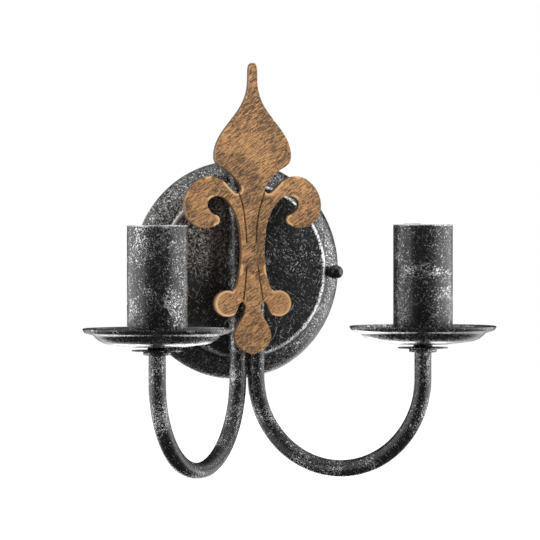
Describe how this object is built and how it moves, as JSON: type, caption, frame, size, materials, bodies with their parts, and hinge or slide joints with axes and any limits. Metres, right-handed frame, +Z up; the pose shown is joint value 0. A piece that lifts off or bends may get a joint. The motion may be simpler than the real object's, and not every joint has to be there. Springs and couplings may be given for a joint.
{
  "type": "double arm wall sconce",
  "caption": "Wall light with two bent tube arms, stepped drip pans and tall socket cups, a round stepped canopy and a flat fleur-de-lis ornament.",
  "frame": {"origin": "centre of the wall bracket's back face, on the wall", "axes": "+Y into the wall, -Y to the front, +X to the right seen from the front, +Z up"},
  "size_m": [0.302, 0.1682, 0.2943],
  "materials": {
    "aged_black_iron": "black lacquer, dry-brushed with silver",
    "copper_patina": "copper tone, brushed dark patina",
    "black_knob": "gloss black",
    "zinc_steel": "bright zinc plated",
    "holder_plastic": "white thermoplastic",
    "ceramic": "white glazed ceramic",
    "nickel_shell": "nickel plated",
    "brass": "bare brass",
    "bush_rubber": "black rubber",
    "block_plastic": "natural polyamide",
    "lead_sheath": "white sheath",
    "earth_sheath": "green and yellow sheath"
  },
  "bodies": {
    "lamp": {"arm_back_plate": "aged_black_iron", "arm_plate_screws": "zinc_steel", "arm_plate_washers": "zinc_steel", "canopy": "aged_black_iron", "earth_lead": "earth_sheath", "earth_screw": "zinc_steel", "earth_tag": "brass", "fleur_ornament": "copper_patina", "left_arm_tube": "aged_black_iron", "left_cable_bush": "bush_rubber", "left_centre_contact": "brass", "left_collar_ring": "aged_black_iron", "left_contact_carrier": "ceramic", "left_dished_washer": "aged_black_iron", "left_drip_pan": "aged_black_iron", "left_lampholder_base": "holder_plastic", "left_lampholder_skirt": "holder_plastic", "left_lead": "lead_sheath", "left_lock_nut": "zinc_steel", "left_lock_washer": "zinc_steel", "left_screw_shell": "nickel_shell", "left_socket_cup": "aged_black_iron", "left_stem_nipple": "zinc_steel", "left_tube_plug": "aged_black_iron", "ornament_spacers": "aged_black_iron", "right_arm_tube": "aged_black_iron", "right_cable_bush": "bush_rubber", "right_centre_contact": "brass", "right_collar_ring": "aged_black_iron", "right_contact_carrier": "ceramic", "right_dished_washer": "aged_black_iron", "right_drip_pan": "aged_black_iron", "right_lampholder_base": "holder_plastic", "right_lampholder_skirt": "holder_plastic", "right_lead": "lead_sheath", "right_lock_nut": "zinc_steel", "right_lock_washer": "zinc_steel", "right_screw_shell": "nickel_shell", "right_socket_cup": "aged_black_iron", "right_stem_nipple": "zinc_steel", "right_tube_plug": "aged_black_iron", "terminal_block": "block_plastic", "terminal_block_screw": "zinc_steel", "terminal_inserts": "brass", "terminal_screws": "zinc_steel", "wall_bracket": "zinc_steel"},
    "left_rim_screw": {"canopy_screw_left": "black_knob"},
    "right_rim_screw": {"canopy_screw_right": "black_knob"}
  },
  "joints": [
    {"name": "left_rim_screw_turn", "type": "hinge", "parent": "lamp", "child": "left_rim_screw", "pos_m": [-0.0662, -0.01354, -0.0016], "axis": [-0.7071, -0.7071, 0], "continuous": true},
    {"name": "right_rim_screw_turn", "type": "hinge", "parent": "lamp", "child": "right_rim_screw", "pos_m": [0.0662, -0.01354, -0.0016], "axis": [0.7071, -0.7071, 0], "continuous": true}
  ]
}
